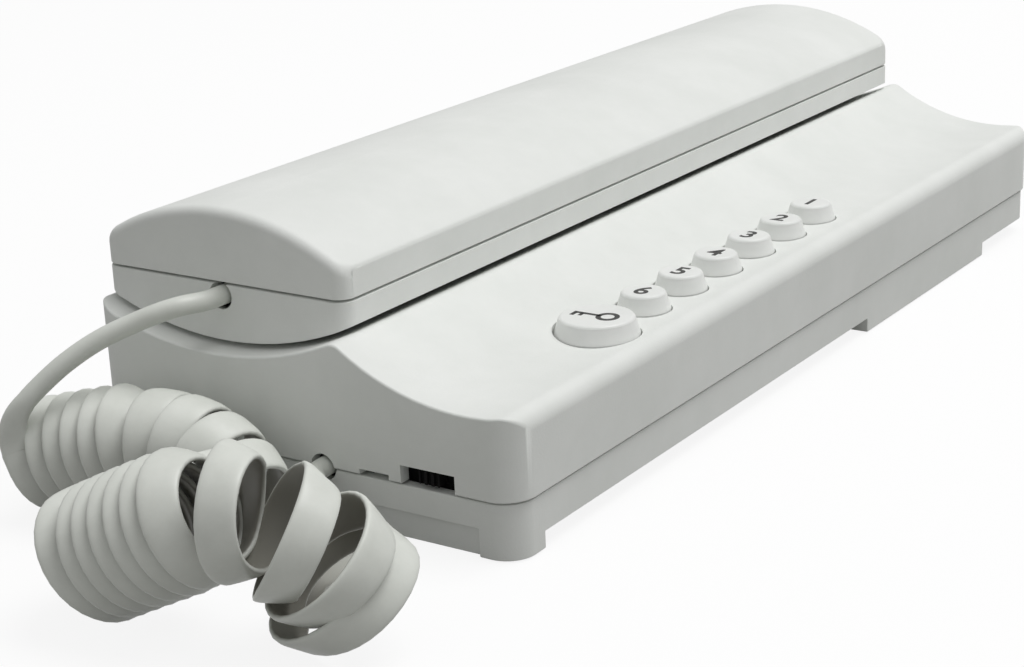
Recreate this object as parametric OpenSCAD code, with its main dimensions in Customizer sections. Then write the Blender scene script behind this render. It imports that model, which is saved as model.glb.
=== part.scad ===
// Wall intercom telephone lying on its back: a long base with a scooped button deck and a cradle,
// a straight handset resting in the cradle, and a curly cord between the two.
// X runs across the base, Y along it (the near end carries the cord), Z away from the wall.

/* [Base] */
// Length of the base
base_l = 220; // [200:1:240]
// Width of the base
base_w = 88; // [84:1:96]
// Radius of the upright corners of the base
base_corner_r = 5.5; // [5.5:0.5:8]
// Wall of the front cover
cover_wall = 2.2; // [1.8:0.1:2.4]
// Height of the seam between back plate and cover
seam_z = 9.8; // [9.4:0.1:11]
// Width of the dark line at each seam
seam_gap = 0.4; // [0.2:0.1:0.6]

/* [Deck and cradle] */
// Lowest height of the scooped deck
deck_z = 23.8; // [23:0.1:26]
// Radius of the scoop
deck_r = 44; // [40:1:54]
// Lowest line of the scoop, from the right side of the base
deck_low_inset = 9; // [7:0.5:12]
// Rounding of the right top edge
deck_edge_r = 3; // [2.6:0.1:4]
// Rounding of the ridge between cradle and deck
ridge_r = 2.6; // [2.5:0.1:4]
// Rounding of the left rim of the cradle
rim_r = 1; // [0.6:0.1:1.4]
// Lowest height of the cradle
cradle_z = 26.2; // [25.6:0.1:28]
// Shadow gap between handset and cradle
cradle_gap = 1; // [0.8:0.1:1.4]
// Clearance between the handset and the ribs that carry it
rest_gap = 0.3; // [0.2:0.1:0.5]
// Distance between the two rest ribs
rest_rib_span = 100; // [96:1:104]

/* [Handset] */
// Length of the handset
handset_l = 212; // [206:1:214]
// Width of the handset
handset_w = 53; // [50:1:56]
// Left side of the handset, from the left side of the base
handset_inset = 0.5; // [0.2:0.1:2]
// Height of the handset seam above its belly
handset_seam_h = 10.1; // [9.6:0.1:12]
// Height of the crown above the seam
crown_h = 12.9; // [12:0.1:15]
// Straight side of the upper shell
upper_side_h = 5.4; // [4.5:0.1:6]
// Straight side of the lower shell
lower_side_h = 4.3; // [3.6:0.1:4.8]
// Wall of the handset shells
handset_wall = 2; // [1.7:0.1:2.4]
// Radius of the upright corners of the handset
handset_corner_r = 3; // [3:0.5:6]
// Rounding of the crown's long edges
crown_edge_r = 1.2; // [0.8:0.1:1.6]
// Earpiece centre, from the far end of the handset
earpiece_inset = 38; // [36:0.5:40]
// Diameter of the earpiece capsule
earpiece_d = 34; // [30:0.5:36]
// Height of the earpiece capsule
earpiece_h = 8.6; // [7:0.1:9.4]
// Microphone centre, from the near end of the handset
microphone_inset = 28; // [24:0.5:34]
// Diameter of the microphone capsule
microphone_d = 9.7; // [8:0.1:11]
// Height of the microphone capsule
microphone_h = 5; // [4:0.1:6]
// Each handset screw, from its end of the handset
handset_screw_inset = 64; // [62:1:67]

/* [Buttons] */
// Diameter of the door button at the deck
door_button_d = 15; // [13:0.5:16]
// Diameter of a number button at the deck
number_button_d = 9.8; // [8.5:0.1:10.4]
// Height of the buttons above the lowest line of the deck
button_proud = 3.4; // [2.8:0.1:4]
// Draw-in of a button between deck and top
button_taper = 0.75; // [0.4:0.05:1]
// Row of the buttons, from the right side of the base
button_row_inset = 11.6; // [11:0.1:14]
// Door button, from the middle of the base
door_button_y = -66.4; // [-68:0.1:-66]
// Number button next to the door button, from the middle of the base
near_number_y = -50.6; // [-51:0.1:-49.8]
// Step from one number button to the next
number_pitch = 13.4; // [13:0.1:13.6]
// Clearance round a button in its hole
button_gap = 0.3; // [0.2:0.05:0.5]
// Travel of a pressed button
press_travel = 1.2; // [0.8:0.1:1.6]

/* [Hook switch] */
// Hook plunger, from the middle of the base
hook_y = 20; // [18:0.5:22]
// Diameter of the plunger head
plunger_d = 8; // [6.5:0.5:9]
// Rise of the plunger as the handset is lifted
hook_travel = 3.5; // [2.5:0.1:4]
// Wire of the plunger spring
spring_wire = 0.6; // [0.4:0.05:0.7]
// Turns of the plunger spring
spring_turns = 5; // [4:1:6]

/* [Ringer volume switch] */
// Middle of the slot, from the right side of the base
slot_inset = 16.9; // [16:0.1:18]
// Height of the slot above the seam
slot_h = 3.2; // [2.8:0.1:3.6]
// Travel of the slider to each side
slider_travel = 3; // [2:0.1:3.2]

/* [Wall fixing] */
// Lift of the back plate off the wall between its pads
pad_h = 3; // [2.4:0.1:3.4]
// Length of the far pad
pad_l = 62; // [56:1:66]
// Near edge of the far pad, from the middle of the base
pad_y = 20; // [16:0.5:24]
// Length of the near pad
near_pad_l = 8; // [6:0.5:10]
// Floor of the back plate
plate_floor = 2.2; // [1.8:0.1:2.6]
// Distance between the two wall screws
wall_screw_span = 60; // [54:1:62]
// Diameter of the wall screw holes
wall_hole_d = 4.5; // [4:0.1:5.5]
// Width of the cable window
window_w = 28; // [22:1:32]
// Length of the cable window
window_l = 22; // [18:1:26]

/* [Circuit board] */
// Thickness of the board
board_t = 1.6; // [1.2:0.1:2]
// Height of the board's top face
board_z = 9; // [8.8:0.1:9.4]
// Diameter of the call buzzer
buzzer_d = 18; // [14:0.5:20]
// Height of the call buzzer
buzzer_h = 8; // [6:0.1:10]
// Number of ways of the terminal block
terminal_ways = 5; // [3:1:5]
// Step between the ways
terminal_pitch = 5; // [4.5:0.1:5]

/* [Cord] */
// Diameter of the cord where it runs straight
cord_d = 3.4; // [3:0.1:3.5]
// Width of the cord in the curls, where it is pressed flat
curl_w = 5.6; // [5.4:0.1:5.7]
// Thickness of the cord in the curls
curl_t = 1.3; // [1.1:0.1:1.3]
// Diameter of a curl by the handset, at the middle of the cord
far_curl_d = 15.8; // [15.6:0.1:16]
// Diameter of a curl by the base, at the middle of the cord
near_curl_d = 18.4; // [18.2:0.1:18.6]
// Clearance of the cord in the holes that grip it
cord_grip_gap = 0.05; // [0.03:0.01:0.1]
// Clearance of the cord in the holes of the shells
cord_hole_gap = 0.7; // [0.5:0.1:0.8]

/* [Hidden] */
$fn = 96;

shell_white = "#e8e8e2";
button_white = "#f0efe9";
cord_white = "#dcdcd4";
part_black = "#1c1c1e";
board_green = "#2e6b45";
steel = "#b9bcc0";

// Last item of a list
function last(v) = v[len(v) - 1];
// Small overlap that joins two forms of one piece
weld = 0.5;
// Arcs of large radius take more segments
big_fn = 240;
// Reach of a cut past the face that it opens
spare = 1;
// Seat clearance between a piece and what holds it
seat_gap = 0.15;

// Places in the base
left_x = -base_w / 2;
right_x = base_w / 2;
near_y = -base_l / 2;
inner_near_y = near_y + cover_wall;
handset_x = left_x + handset_inset + handset_w / 2;
handset_near_y = -handset_l / 2;
handset_far_y = handset_l / 2;
earpiece_y = handset_far_y - earpiece_inset;
microphone_y = handset_near_y + microphone_inset;
handset_screw_span = handset_l - 2 * handset_screw_inset;
button_x = right_x - button_row_inset;
slot_x = right_x - slot_inset;

// Heights of the handset, from the cradle upwards
belly_z = cradle_z + cradle_gap;
handset_seam_z = belly_z + handset_seam_h;
belly_edge_z = handset_seam_z - lower_side_h;
crown_edge_z = handset_seam_z + upper_side_h;
crown_z = handset_seam_z + crown_h;

// Radius of an arc from its chord and its rise
function arc_r(chord, rise) = (chord * chord / 4 + rise * rise) / (2 * rise);
crown_r = arc_r(handset_w, crown_z - crown_edge_z);
crown_c = [handset_x, crown_z - crown_r];
belly_r = arc_r(handset_w, belly_edge_z - belly_z);
belly_c = [handset_x, belly_z + belly_r];

// The cradle is an arc round the belly's centre, and the deck a second one beside it
cradle_r = belly_r + cradle_gap;
cradle_c = belly_c;
deck_low_x = right_x - deck_low_inset;
deck_c = [deck_low_x, deck_z + deck_r];
cradle_more = 3;
cradle_half_w = handset_w / 2 + cradle_more;
cover_top = cradle_z + cradle_r - sqrt(pow(cradle_r, 2) - pow(cradle_half_w, 2));

// Point where two circles meet, on their lower side
function lower_meet(c1, r1, c2, r2) =
    let (
        d = norm(c2 - c1),
        u = (c2 - c1) / d,
        a = (r1 * r1 - r2 * r2 + d * d) / (2 * d),
        h = sqrt(r1 * r1 - a * a)
    )
    c1 + a * u + h * [u.y, -u.x];
ridge_c = lower_meet(cradle_c, cradle_r + ridge_r, deck_c, deck_r + ridge_r);
edge_c_x = right_x - deck_edge_r;
edge_c = [edge_c_x, deck_c.y - sqrt(pow(deck_r + deck_edge_r, 2) - pow(edge_c_x - deck_c.x, 2))];
rim_c_x = left_x + rim_r;
rim_c = [rim_c_x, cradle_c.y - sqrt(pow(cradle_r + rim_r, 2) - pow(rim_c_x - cradle_c.x, 2))];

// Inner heights under the cover
cradle_under_z = cradle_z - cover_wall;
deck_under_z = deck_z - cover_wall;

// Back plate: floor, rim and the well of the far pad
plate_inset = 0.5;
plate_rim = 2;
floor_top = pad_h + plate_floor;
well_top = plate_floor;
well_w = base_w - 2 * (plate_inset + plate_rim);
plate_top = seam_z - seam_gap / 2;
cover_bottom = seam_z + seam_gap / 2;
pad_mid_y = pad_y + pad_l / 2;
near_pad_y = near_y + plate_inset;
lip_t = 1.2;
lip_gap = 0.3;
lip_h = 2;
lip_end_gap = 10;
knockout_deep = 0.8;
knockout_side = 7.7;
knockout_w = base_w - 2 * knockout_side;
knockout_h = 5;
screw_boss_r = wall_hole_d / 2 + 3;
screw_boss_h = 1;
latch_inset = 27.6;
latch_x = right_x - latch_inset;
latch_w = 6;
latch_t = 1.4;
latch_gap = 1.7;
latch_h = 3.6;
pry_h = 1;

// Key switches and the buttons over them, the number 1 at the far end of the row
number_count = 6;
number_ys = [for (i = [1 : number_count]) near_number_y + (number_count - i) * number_pitch];
button_ys = concat([door_button_y], number_ys);
key_body = 6;
key_body_h = 3.5;
key_pin_r = 1.7;
key_slack = 0.2;
button_top = deck_z + button_proud;
flange_t = 1.6;
flange_out = 1.2;
flange_gap = 0.3;
flange_top = deck_under_z - flange_gap;
flange_bottom = flange_top - flange_t;
stem_r = 2.2;
stem_l = 1.4;
stem_bottom = flange_bottom - stem_l;
key_top = stem_bottom - press_travel - key_slack;
button_round = 0.7;
button_straight = 0.2;
round_steps = 4;

// Board between the right lip and the middle of the base
board_gap = 0.4;
board_w = 31.9;
board_right = right_x - cover_wall - lip_gap - lip_t - board_gap;
board_left = board_right - board_w;
board_edge = 4;

// Terminal block and buzzer on the board
terminal_w = terminal_ways * terminal_pitch;
terminal_l = 9;
terminal_h = 9;
terminal_side_gap = 1;
terminal_key_gap = 2;
terminal_x = board_left + terminal_side_gap + terminal_w / 2;
terminal_y = number_ys[0] + key_body / 2 + terminal_key_gap + terminal_l / 2;
terminal_well_r = 1.9;
terminal_well_h = 3;
terminal_screw_r = 1.75;
terminal_screw_h = 2.2;
terminal_slot_w = 0.6;
terminal_slot_h = 0.8;
terminal_wire_r = 1.4;
terminal_wire_z = 3;
buzzer_inset = 10.5;
buzzer_x = board_left + buzzer_inset;
buzzer_y = -36;
buzzer_port_r = 1.5;
buzzer_port_h = 2;
buzzer_bevel = 1;

// Board outline, posts and screws
board_near_gap = 12;
board_near = near_y + board_near_gap;
board_far = terminal_y + terminal_l / 2 + board_edge;
arm_side = 10;
arm_left = handset_x - arm_side;
arm_near = hook_y - arm_side;
arm_far = hook_y + arm_side;
tongue_gap = 1;
tongue_near = inner_near_y + tongue_gap;
board_bottom = board_z - board_t;
post_r = 3;
screw_shank_r = 1.2;
screw_head_r = 2.4;
screw_head_h = 1.6;
screw_gap = 0.1;
screw_l = 5;
driver_slot_w = 0.7;
driver_slot_h = 0.7;
post_off_key = 12;
post_off_buzzer = 8;
post_places = [
    [board_left + board_edge, board_near + board_edge],
    [board_right - post_r, door_button_y - post_off_key],
    [board_left + board_edge, buzzer_y + buzzer_d / 2 + post_off_buzzer],
    [board_right - post_r, terminal_y],
    [arm_left + board_edge, arm_near + board_edge]
];

// Hook plunger, pressed down by the handset
plunger_r = plunger_d / 2;
plunger_gap = 0.3;
plunger_top = belly_z - rest_gap;
plunger_round = 1.5;
sleeve_wall = 1.8;
sleeve_drop = 2.2;
sleeve_bottom = cradle_under_z - sleeve_drop;
plunger_flange_r = plunger_r + 2;
plunger_flange_t = 2;
plunger_flange_top = sleeve_bottom - hook_travel - plunger_gap;
plunger_flange_bottom = plunger_flange_top - plunger_flange_t;
plunger_stem_r = 2;
plunger_stem_below = 1.2;
spring_r = plunger_stem_r + 1.1;
hook_switch_w = 6;
hook_switch_l = 7;
hook_switch_gap = 0.6;
hook_switch_x = handset_x + spring_r + spring_wire / 2 + hook_switch_gap;
hook_button_r = 0.8;
hook_button_h = 1.2;
hook_button_x = handset_x + plunger_flange_r - hook_button_r;

// Hanging peg of the cradle, and the slot for it in the handset
peg_inset = 12;
peg_y = handset_far_y - peg_inset;
peg_w = 10;
peg_l = 4;
peg_h = 4.8;
peg_gap = 0.7;
peg_slot_h = 6;

// Ringer volume switch behind the slot
slider_w = 4;
slider_h = 2.2;
slider_gap = 0.2;
slider_side_gap = 0.3;
slider_recess = 0.5;
slot_w = slider_w + 2 * (slider_travel + slider_side_gap);
switch_side = 1.5;
switch_body_w = slot_w + 2 * switch_side;
switch_body_d = 6;
switch_body_h = 5.4;
switch_front_y = near_y + plate_inset + plate_rim + lip_gap;
slider_z = cover_bottom + slot_h / 2;

// Cord holes
cord_r = cord_d / 2;
grip_r = cord_r + cord_grip_gap;
cord_hole_r = cord_r + cord_hole_gap;
entry_inset = 38.2;
entry_x = right_x - entry_inset;
entry_z = seam_z;
entry_slit = 0.4;
handset_entry_z = handset_seam_z - seam_gap / 2 - cord_hole_r + entry_slit;
clamp_w = 8;
clamp_l = 5;
base_clamp_gap = 1.2;
base_clamp_y = inner_near_y + base_clamp_gap;
base_clamp_h = 5.6;
handset_lip_gap = 0.1;
handset_lip_in = handset_wall + handset_lip_gap;
handset_lip_t = 0.9;
handset_lip_h = 1.4;
handset_clamp_y = handset_near_y + handset_lip_in + handset_lip_t + seat_gap;
handset_clamp_up = 2.2;

// Inside of the handset
belly_inner_r = belly_r - handset_wall;
function belly_floor(dx) = belly_c.y - sqrt(pow(belly_inner_r, 2) - dx * dx);
function crown_ceiling(dx) = crown_c.y + sqrt(pow(crown_r - handset_wall, 2) - dx * dx);
seat_rise = 0.4;
ear_r = earpiece_d / 2;
ear_ring_t = 1.4;
ear_ring_gap = 0.2;
ear_ring_r = ear_r + ear_ring_gap + ear_ring_t;
ear_seat_z = belly_floor(ear_ring_r) + seat_rise;
ear_lip_in = 3;
ear_lip_r = ear_r - ear_lip_in;
ear_ring_h = 3;
gasket_t = 1;
gasket_in = 4;
ear_bottom = ear_seat_z + gasket_t;
ear_top = ear_bottom + earpiece_h;
ear_step = 3;
ear_step_in = 5;
ear_cone = 1;
grille_hole_r = 0.9;
grille_step = 3.4;
mic_r = microphone_d / 2;
boot_t = 1.5;
boot_gap = 0.1;
boot_r = mic_r + boot_gap + boot_t;
boot_ring_t = 1.4;
boot_ring_r = boot_r + seat_gap + boot_ring_t;
boot_seat_z = belly_floor(boot_ring_r) + seat_rise;
boot_ring_h = 3;
mic_bottom = boot_seat_z + boot_t;
mic_port_r = 0.8;
mic_port_step = 2.4;
boss_r = 3.6;
pillar_more = 0.6;
shank_r = 1.4;
shank_gap = 0.1;
head_r = 2.7;
head_h = 2;
head_gap = 0.3;
head_web = 1.2;
head_seat_z = belly_floor(0) + head_web;
handset_screw_l = 13;
pilot_more = 0.6;
clamp_rib_t = 2;
clamp_rib_l = 8;

// Profile in X and Z, drawn out along Y about the middle
module along_y(length) {
    rotate([90, 0, 0])
        linear_extrude(length, center = true)
            children();
}

// Flat plate outline with round corners
module round_rect(w, l, r) {
    square([w - 2 * r, l], center = true);
    square([w, l - 2 * r], center = true);
    for (sx = [-1, 1], sy = [-1, 1])
        translate([sx * (w / 2 - r), sy * (l / 2 - r)])
            circle(r);
}

// Upright prism of the base outline, drawn in by inset
module base_prism(inset, z0, z1) {
    translate([0, 0, z0])
        linear_extrude(z1 - z0)
            round_rect(base_w - 2 * inset, base_l - 2 * inset, base_corner_r - inset);
}

// Least corner inside the handset
least_corner_r = 0.6;

// Upright prism of the handset outline, drawn in by inset
module handset_prism(inset, z0, z1) {
    translate([handset_x, 0, z0])
        linear_extrude(z1 - z0)
            round_rect(
                handset_w - 2 * inset, handset_l - 2 * inset,
                max(handset_corner_r - inset, least_corner_r)
            );
}

// Corner beyond a rounding circle about c, between its touching points a and b
module beyond_round(c, r, a, b, top, out_a = 0, out_b = 0) {
    side_a = out_a > 0 ? [[a.x - out_a, a.y]] : [];
    side_b = out_b > 0 ? [[b.x + out_b, b.y]] : [];
    difference() {
        polygon(concat([c, a], side_a, [[a.x - out_a, top], [b.x + out_b, top]], side_b, [b]));
        translate(c)
            circle(r);
    }
}

// Point at distance r from c, on the way to a second point
function towards(c, goal, r) = c + r * (goal - c) / norm(goal - c);

// Section of the cover: a block with the cradle and deck arcs taken out and its edges rounded.
// A hollow is drawn past the sides by over, and the base outline then bounds it.
module cover_section(inset, over = 0) {
    top = cover_top + 2 * spare;
    side_x = base_w / 2 - inset + over;
    edge_top = towards(edge_c, deck_c, deck_edge_r);
    rim_top = towards(rim_c, cradle_c, rim_r);
    difference() {
        translate([-side_x, 0])
            square([2 * side_x, cover_top]);
        translate(cradle_c)
            circle(cradle_r + inset, $fn = big_fn);
        translate(deck_c)
            circle(deck_r + inset, $fn = big_fn);
        if (ridge_r > inset) {
            r = ridge_r - inset;
            beyond_round(ridge_c, r, towards(ridge_c, cradle_c, r), towards(ridge_c, deck_c, r), top);
        }
        if (over == 0) {
            beyond_round(edge_c, deck_edge_r, edge_top, edge_c + [deck_edge_r, 0], top, 0, spare);
            beyond_round(rim_c, rim_r, rim_c - [rim_r, 0], rim_top, top, spare, 0);
        }
    }
}

// Upright ring
module tube(outer_r, inner_r, z0, z1) {
    translate([0, 0, z0])
        difference() {
            cylinder(h = z1 - z0, r = outer_r);
            translate([0, 0, -1])
                cylinder(h = z1 - z0 + 2, r = inner_r);
        }
}

// Hole along Y through a near end wall
module near_hole(x, z, r, y, depth) {
    translate([x, y - 1, z])
        rotate([-90, 0, 0])
            cylinder(h = depth + 2, r = r);
}

module front_cover() {
    color(shell_white)
        difference() {
            union() {
                difference() {
                    intersection() {
                        along_y(base_l + 2 * spare)
                            cover_section(0);
                        base_prism(0, cover_bottom, cover_top + 1);
                    }
                    intersection() {
                        along_y(base_l)
                            cover_section(cover_wall, spare);
                        base_prism(cover_wall, cover_bottom - 1, cover_top);
                    }
                }
                for (sy = [-1, 1])
                    translate([0, sy * rest_rib_span / 2, 0])
                        rest_rib();
                translate([handset_x, hook_y, 0])
                    tube(plunger_r + plunger_gap + sleeve_wall, plunger_r + plunger_gap,
                        sleeve_bottom, cradle_z - weld);
                translate([handset_x - peg_w / 2, peg_y - peg_l / 2, cradle_z - weld])
                    cube([peg_w, peg_l, peg_h + weld]);
            }
            translate([handset_x, hook_y, sleeve_bottom - 1])
                cylinder(h = cover_top, r = plunger_r + plunger_gap);
            for (i = [0 : len(button_ys) - 1])
                translate([button_x, button_ys[i], flange_top])
                    cylinder(h = cover_top, r = button_r(i) + button_gap);
            translate([slot_x - slot_w / 2, near_y - 1, cover_bottom - 1])
                cube([slot_w, cover_wall + 2, slot_h + 1]);
            translate([latch_x - latch_w / 2, near_y - 1, cover_bottom - 1])
                cube([latch_w, cover_wall + 2, pry_h + 1]);
            near_hole(entry_x, entry_z, cord_hole_r, near_y, cover_wall);
        }
}

// Curved rib across the cradle that carries the handset
module rest_rib() {
    rib_w = 30;
    rib_t = 3;
    along_y(rib_t)
        difference() {
            intersection() {
                translate(cradle_c)
                    circle(cradle_r + weld, $fn = big_fn);
                translate([handset_x - rib_w / 2, cradle_z - 2])
                    square([rib_w, cradle_gap + 8]);
            }
            translate(belly_c)
                circle(belly_r + rest_gap, $fn = big_fn);
        }
}

module back_plate() {
    color(shell_white)
        difference() {
            union() {
                difference() {
                    base_prism(plate_inset, pad_h, plate_top);
                    base_prism(plate_inset + plate_rim, floor_top, plate_top + 1);
                    translate([-well_w / 2, pad_y + plate_floor, 0])
                        cube([well_w, pad_l - 2 * plate_floor, floor_top + 1]);
                }
                far_pad();
                intersection() {
                    base_prism(plate_inset, 0, pad_h + weld);
                    translate([left_x, near_pad_y, 0])
                        cube([base_w, near_pad_l, pad_h + weld]);
                }
                for (sx = [-1, 1])
                    translate([sx * (right_x - cover_wall - lip_gap - lip_t / 2), 0, 0])
                        lip();
                translate([latch_x - latch_w / 2, inner_near_y + latch_gap, floor_top - weld])
                    cube([latch_w, latch_t, cover_bottom + latch_h - floor_top + weld]);
                for (p = post_places)
                    translate([p.x, p.y, floor_under(p.y) + weld])
                        cylinder(h = board_bottom - floor_under(p.y) - weld, r = post_r);
                for (sx = [-1, 1])
                    translate([sx * wall_screw_span / 2, pad_mid_y, well_top - weld])
                        cylinder(h = screw_boss_h + weld, r = screw_boss_r);
            }
            for (p = post_places)
                translate([p.x, p.y, board_bottom - screw_l + board_t])
                    cylinder(h = screw_l, r = screw_shank_r + screw_gap);
            for (sx = [-1, 1])
                translate([sx * wall_screw_span / 2, pad_mid_y, -1])
                    cylinder(h = pad_h + plate_floor + 2, d = wall_hole_d);
            translate([-window_w / 2, pad_mid_y - window_l / 2, -1])
                cube([window_w, window_l, plate_floor + 2]);
            translate([-knockout_w / 2, near_y - 1, -1])
                cube([knockout_w, 1 + plate_inset + knockout_deep, knockout_h + 1]);
            near_hole(entry_x, entry_z, cord_hole_r, near_y, plate_inset + plate_rim);
        }
}

// Underside of the floor at a place along the plate
function floor_under(y) = y > pad_y && y < pad_y + pad_l ? 0 : pad_h;

// Far pad: a dished platform that stands on the wall
module far_pad() {
    intersection() {
        base_prism(plate_inset, 0, floor_top);
        translate([left_x, pad_y, 0])
            difference() {
                cube([base_w, pad_l, floor_top]);
                translate([plate_inset + plate_rim, plate_floor, well_top])
                    cube([well_w, pad_l - 2 * plate_floor, floor_top]);
            }
    }
}

// Lip along a long side that keeps the cover in line
module lip() {
    lip_l = base_l - 2 * (base_corner_r + lip_end_gap);
    translate([-lip_t / 2, -lip_l / 2, floor_top - weld])
        cube([lip_t, lip_l, cover_bottom + lip_h - floor_top + weld]);
}

module circuit_board() {
    color(board_green)
        difference() {
            translate([0, 0, board_bottom])
                linear_extrude(board_t)
                    union() {
                        translate([board_left, board_near])
                            square([board_right - board_left, board_far - board_near]);
                        translate([arm_left, arm_near])
                            square([board_left - arm_left + 1, arm_far - arm_near]);
                        translate([slot_x - switch_body_w / 2, tongue_near])
                            square([switch_body_w, board_near - tongue_near + 1]);
                    }
            for (p = post_places)
                translate([p.x, p.y, board_bottom - 1])
                    cylinder(h = board_t + 2, r = screw_shank_r + screw_gap);
            translate([handset_x, hook_y, board_bottom - 1])
                cylinder(h = board_t + 2, r = plunger_stem_r + plunger_gap);
        }
}

module board_screws() {
    color(steel)
        for (p = post_places)
            translate([p.x, p.y, board_z])
                union() {
                    translate([0, 0, -screw_l + weld])
                        cylinder(h = screw_l, r = screw_shank_r);
                    difference() {
                        cylinder(h = screw_head_h, r = screw_head_r);
                        translate([-screw_head_r, -driver_slot_w / 2, screw_head_h - driver_slot_h])
                            cube([2 * screw_head_r, driver_slot_w, driver_slot_h + spare]);
                    }
                }
}

// Middle of each way of the terminal block
function way_x(i) = terminal_x + (i - (terminal_ways - 1) / 2) * terminal_pitch;

module terminal_block() {
    color("#3d6fa3")
        difference() {
            translate([terminal_x - terminal_w / 2, terminal_y - terminal_l / 2, board_z])
                cube([terminal_w, terminal_l, terminal_h]);
            for (i = [0 : terminal_ways - 1]) {
                translate([way_x(i), terminal_y, board_z + terminal_h - terminal_well_h])
                    cylinder(h = terminal_well_h + 1, r = terminal_well_r);
                translate([way_x(i), terminal_y + 1, board_z + terminal_wire_z])
                    rotate([-90, 0, 0])
                        cylinder(h = terminal_l, r = terminal_wire_r);
            }
        }
}

module terminal_screws() {
    color(steel)
        for (i = [0 : terminal_ways - 1])
            translate([way_x(i), terminal_y, board_z + terminal_h - terminal_well_h])
                difference() {
                    cylinder(h = terminal_screw_h, r = terminal_screw_r);
                    translate([-terminal_screw_r, -terminal_slot_w / 2, terminal_screw_h - terminal_slot_h])
                        cube([2 * terminal_screw_r, terminal_slot_w, spare]);
                }
}

module call_buzzer() {
    color(part_black)
        translate([buzzer_x, buzzer_y, board_z])
            rotate_extrude()
                difference() {
                    polygon([
                        [0, 0], [buzzer_d / 2, 0], [buzzer_d / 2, buzzer_h - buzzer_bevel],
                        [buzzer_d / 2 - buzzer_bevel, buzzer_h], [0, buzzer_h]
                    ]);
                    translate([0, buzzer_h - buzzer_port_h])
                        square([buzzer_port_r, buzzer_port_h + spare]);
                }
}

module key_switches() {
    color(part_black)
        for (y = button_ys)
            translate([button_x, y, board_z])
                union() {
                    translate([-key_body / 2, -key_body / 2, 0])
                        cube([key_body, key_body, key_body_h]);
                    cylinder(h = key_top - board_z, r = key_pin_r);
                }
}

// Radius of a button at the deck: the door button comes first, then the numbers
function button_r(i) = (i == 0 ? door_button_d : number_button_d) / 2;

// Button turned from its half section: stem, flange under the deck, tapered cap with a soft top edge
module button(i) {
    r = button_r(i);
    top_r = r - button_taper;
    cap_z = deck_z + button_straight;
    soft = [
        for (k = [0 : round_steps])
            let (a = 90 * k / round_steps)
            [top_r - button_round + button_round * cos(a), button_top - button_round + button_round * sin(a)]
    ];
    color(button_white)
        translate([button_x, button_ys[i], 0])
            rotate_extrude()
                polygon(concat(
                    [
                        [0, stem_bottom], [stem_r, stem_bottom], [stem_r, flange_bottom],
                        [r + flange_out, flange_bottom], [r + flange_out, flange_top],
                        [r, flange_top], [r, cap_z]
                    ],
                    soft,
                    [[0, button_top]]
                ));
}

module volume_switch() {
    color(part_black)
        translate([slot_x - switch_body_w / 2, switch_front_y, board_z])
            cube([switch_body_w, switch_body_d, switch_body_h]);
}

// Ribbed finger piece of the slide switch, just behind the face of the cover
module volume_slider() {
    ridge_w = 0.8;
    slider_y = near_y + slider_recess;
    color(part_black)
        difference() {
            translate([slot_x - slider_w / 2, slider_y, slider_z - slider_h / 2])
                cube([slider_w, switch_front_y - slider_gap - slider_y, slider_h]);
            for (k = [-1, 0, 1])
                translate([slot_x + k * slider_w / 3 - ridge_w / 2, slider_y - 1, slider_z - slider_h])
                    cube([ridge_w, 1.5, 2 * slider_h]);
        }
}

module hook_plunger() {
    tip_c = [plunger_r - plunger_round, plunger_top - plunger_round];
    soft = [
        for (k = [0 : round_steps])
            let (a = 90 * k / round_steps)
            tip_c + plunger_round * [cos(a), sin(a)]
    ];
    color(button_white)
        translate([handset_x, hook_y, 0])
            rotate_extrude()
                polygon(concat(
                    [
                        [0, board_bottom - plunger_stem_below],
                        [plunger_stem_r, board_bottom - plunger_stem_below],
                        [plunger_stem_r, plunger_flange_bottom],
                        [plunger_flange_r, plunger_flange_bottom],
                        [plunger_flange_r, plunger_flange_top],
                        [plunger_r, plunger_flange_top]
                    ],
                    soft,
                    [[0, plunger_top]]
                ));
}

module hook_switch() {
    body_top = plunger_flange_bottom - rest_gap - hook_button_h;
    color(part_black)
        translate([0, hook_y, 0]) {
            translate([hook_switch_x, -hook_switch_l / 2, board_z])
                cube([hook_switch_w, hook_switch_l, body_top - board_z]);
            translate([hook_button_x, 0, body_top - weld])
                cylinder(h = hook_button_h + weld, r = hook_button_r);
        }
}

module base_cord_clamp() {
    color(part_black)
        difference() {
            translate([entry_x - clamp_w / 2, base_clamp_y, floor_top])
                cube([clamp_w, clamp_l, entry_z - floor_top + base_clamp_h - cord_r]);
            near_hole(entry_x, entry_z, grip_r, base_clamp_y, clamp_l);
        }
}

// Section of the closed handset, drawn in by inset: crown above, belly below.
// The outer crown has straight sides and rounded edges; other forms reach past the sides by over,
// and the handset outline then bounds them.
module handset_section(inset, over) {
    side_x = handset_w / 2 - inset + over;
    edge_x = handset_w / 2 - crown_edge_r;
    edge_rise = sqrt(pow(crown_r - crown_edge_r, 2) - edge_x * edge_x);
    right_c = crown_c + [edge_x, edge_rise];
    left_c = crown_c + [-edge_x, edge_rise];
    top = crown_z + spare;
    difference() {
        intersection() {
            translate([handset_x - side_x, belly_z])
                square([2 * side_x, crown_z - belly_z]);
            translate(crown_c)
                circle(crown_r - inset, $fn = big_fn);
            translate(belly_c)
                circle(belly_r - inset, $fn = big_fn);
        }
        if (over == 0) {
            right_top = towards(crown_c, right_c, crown_r);
            left_top = towards(crown_c, left_c, crown_r);
            beyond_round(right_c, crown_edge_r, right_top, right_c + [crown_edge_r, 0], top, 0, 1);
            beyond_round(left_c, crown_edge_r, left_c - [crown_edge_r, 0], left_top, top, 1, 0);
        }
    }
}

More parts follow.
